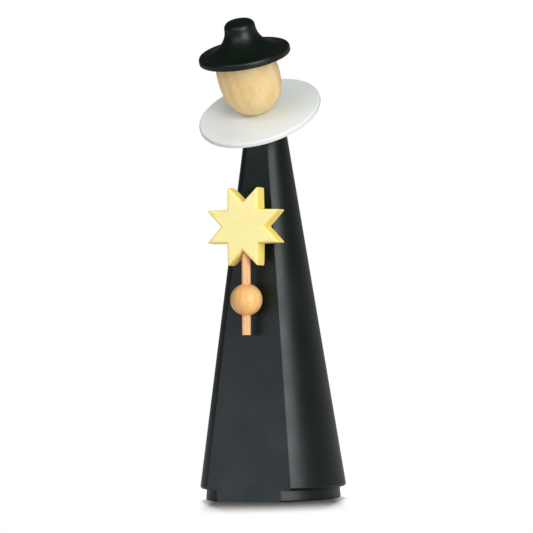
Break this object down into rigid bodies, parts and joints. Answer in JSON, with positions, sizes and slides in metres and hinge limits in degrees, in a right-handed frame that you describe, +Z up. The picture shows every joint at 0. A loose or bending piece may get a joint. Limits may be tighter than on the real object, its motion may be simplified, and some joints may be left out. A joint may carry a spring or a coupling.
{
  "type": "caroler figurine",
  "caption": "Turned wooden figure in a conical robe with a planed front, a tilted disc collar, a plain egg head with a brimmed hat, and a star on a staff held in a ball hand.",
  "frame": {"origin": "on the robe's turning axis, at its underside", "axes": "+Z up along the robe's turning axis; -Y is the front, the way the planed face and the star look; +X is to the right of someone facing the front"},
  "size_m": [0.0664, 0.0735, 0.2189],
  "materials": {
    "black_lacquered_wood": "satin black lacquer over turned wood",
    "white_painted_wood": "matt white paint",
    "pale_turned_wood": "bare sanded wood, clear sealed",
    "oiled_wood_ball": "polished, clear lacquered",
    "beech_rod": "bare beech rod",
    "yellow_painted_wood": "matt pale yellow paint"
  },
  "bodies": {
    "robe": {"robe": "black_lacquered_wood", "neck_dowel": "beech_rod", "hand_ball": "oiled_wood_ball", "hand_peg": "beech_rod"},
    "collar": {"collar": "white_painted_wood"},
    "head": {"head": "pale_turned_wood", "hat": "black_lacquered_wood", "hat_peg": "beech_rod"},
    "star_on_staff": {"star_staff": "beech_rod", "star": "yellow_painted_wood"}
  },
  "joints": [
    {"name": "head_turn", "type": "hinge", "parent": "robe", "child": "head", "pos_m": [0, -0.00468, 0.17446], "axis": [0, -0.5446, 0.8387], "continuous": true},
    {"name": "collar_turn", "type": "hinge", "parent": "robe", "child": "collar", "pos_m": [0, -0.00468, 0.17446], "axis": [0, -0.5446, 0.8387], "continuous": true},
    {"name": "staff_slide", "type": "slide", "parent": "robe", "child": "star_on_staff", "axis": [0, 0.0384, 0.9993], "range_m": [-0.011, 0.016]}
  ]
}
